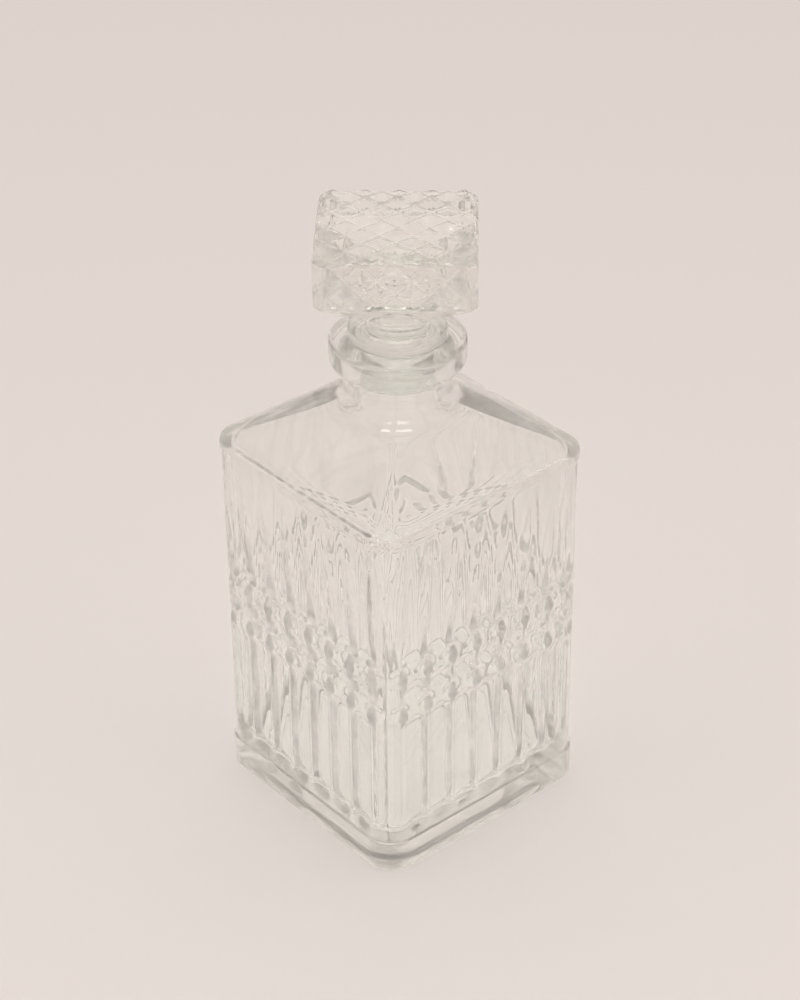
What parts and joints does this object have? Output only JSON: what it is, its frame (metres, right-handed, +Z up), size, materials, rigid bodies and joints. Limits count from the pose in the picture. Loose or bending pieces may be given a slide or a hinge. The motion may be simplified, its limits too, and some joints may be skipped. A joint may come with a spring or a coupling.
{
  "type": "decanter",
  "caption": "Square glass decanter with fluted sides, a band of thumbprints, a round lipped neck and a diamond-faced block stopper that seals in a clear sleeve.",
  "frame": {"origin": "centre of the bottle's base, on the surface that it stands on", "axes": "+Z up along the neck, +X and +Y square to two neighbouring faces of the bottle"},
  "size_m": [0.09, 0.09, 0.2146],
  "materials": {
    "bottle_glass": "clear pressed glass, fire polished, with a faint grey-green tint in the thick parts",
    "seal_plastic": "clear soft polyethylene, slightly milky",
    "stopper_glass": "clear pressed glass with a soft pressed surface on the diamonds"
  },
  "bodies": {
    "bottle": {"bottle": "bottle_glass"},
    "seal": {"stopper_seal": "seal_plastic"},
    "stopper": {"stopper": "stopper_glass"}
  },
  "joints": [
    {"name": "stopper_lift", "type": "slide", "parent": "bottle", "child": "seal", "axis": [0, 0, 1], "range_m": [0, 0.04]},
    {"name": "stopper_turn", "type": "hinge", "parent": "seal", "child": "stopper", "pos_m": [0, 0, 0.1755], "axis": [0, 0, 1], "continuous": true}
  ]
}
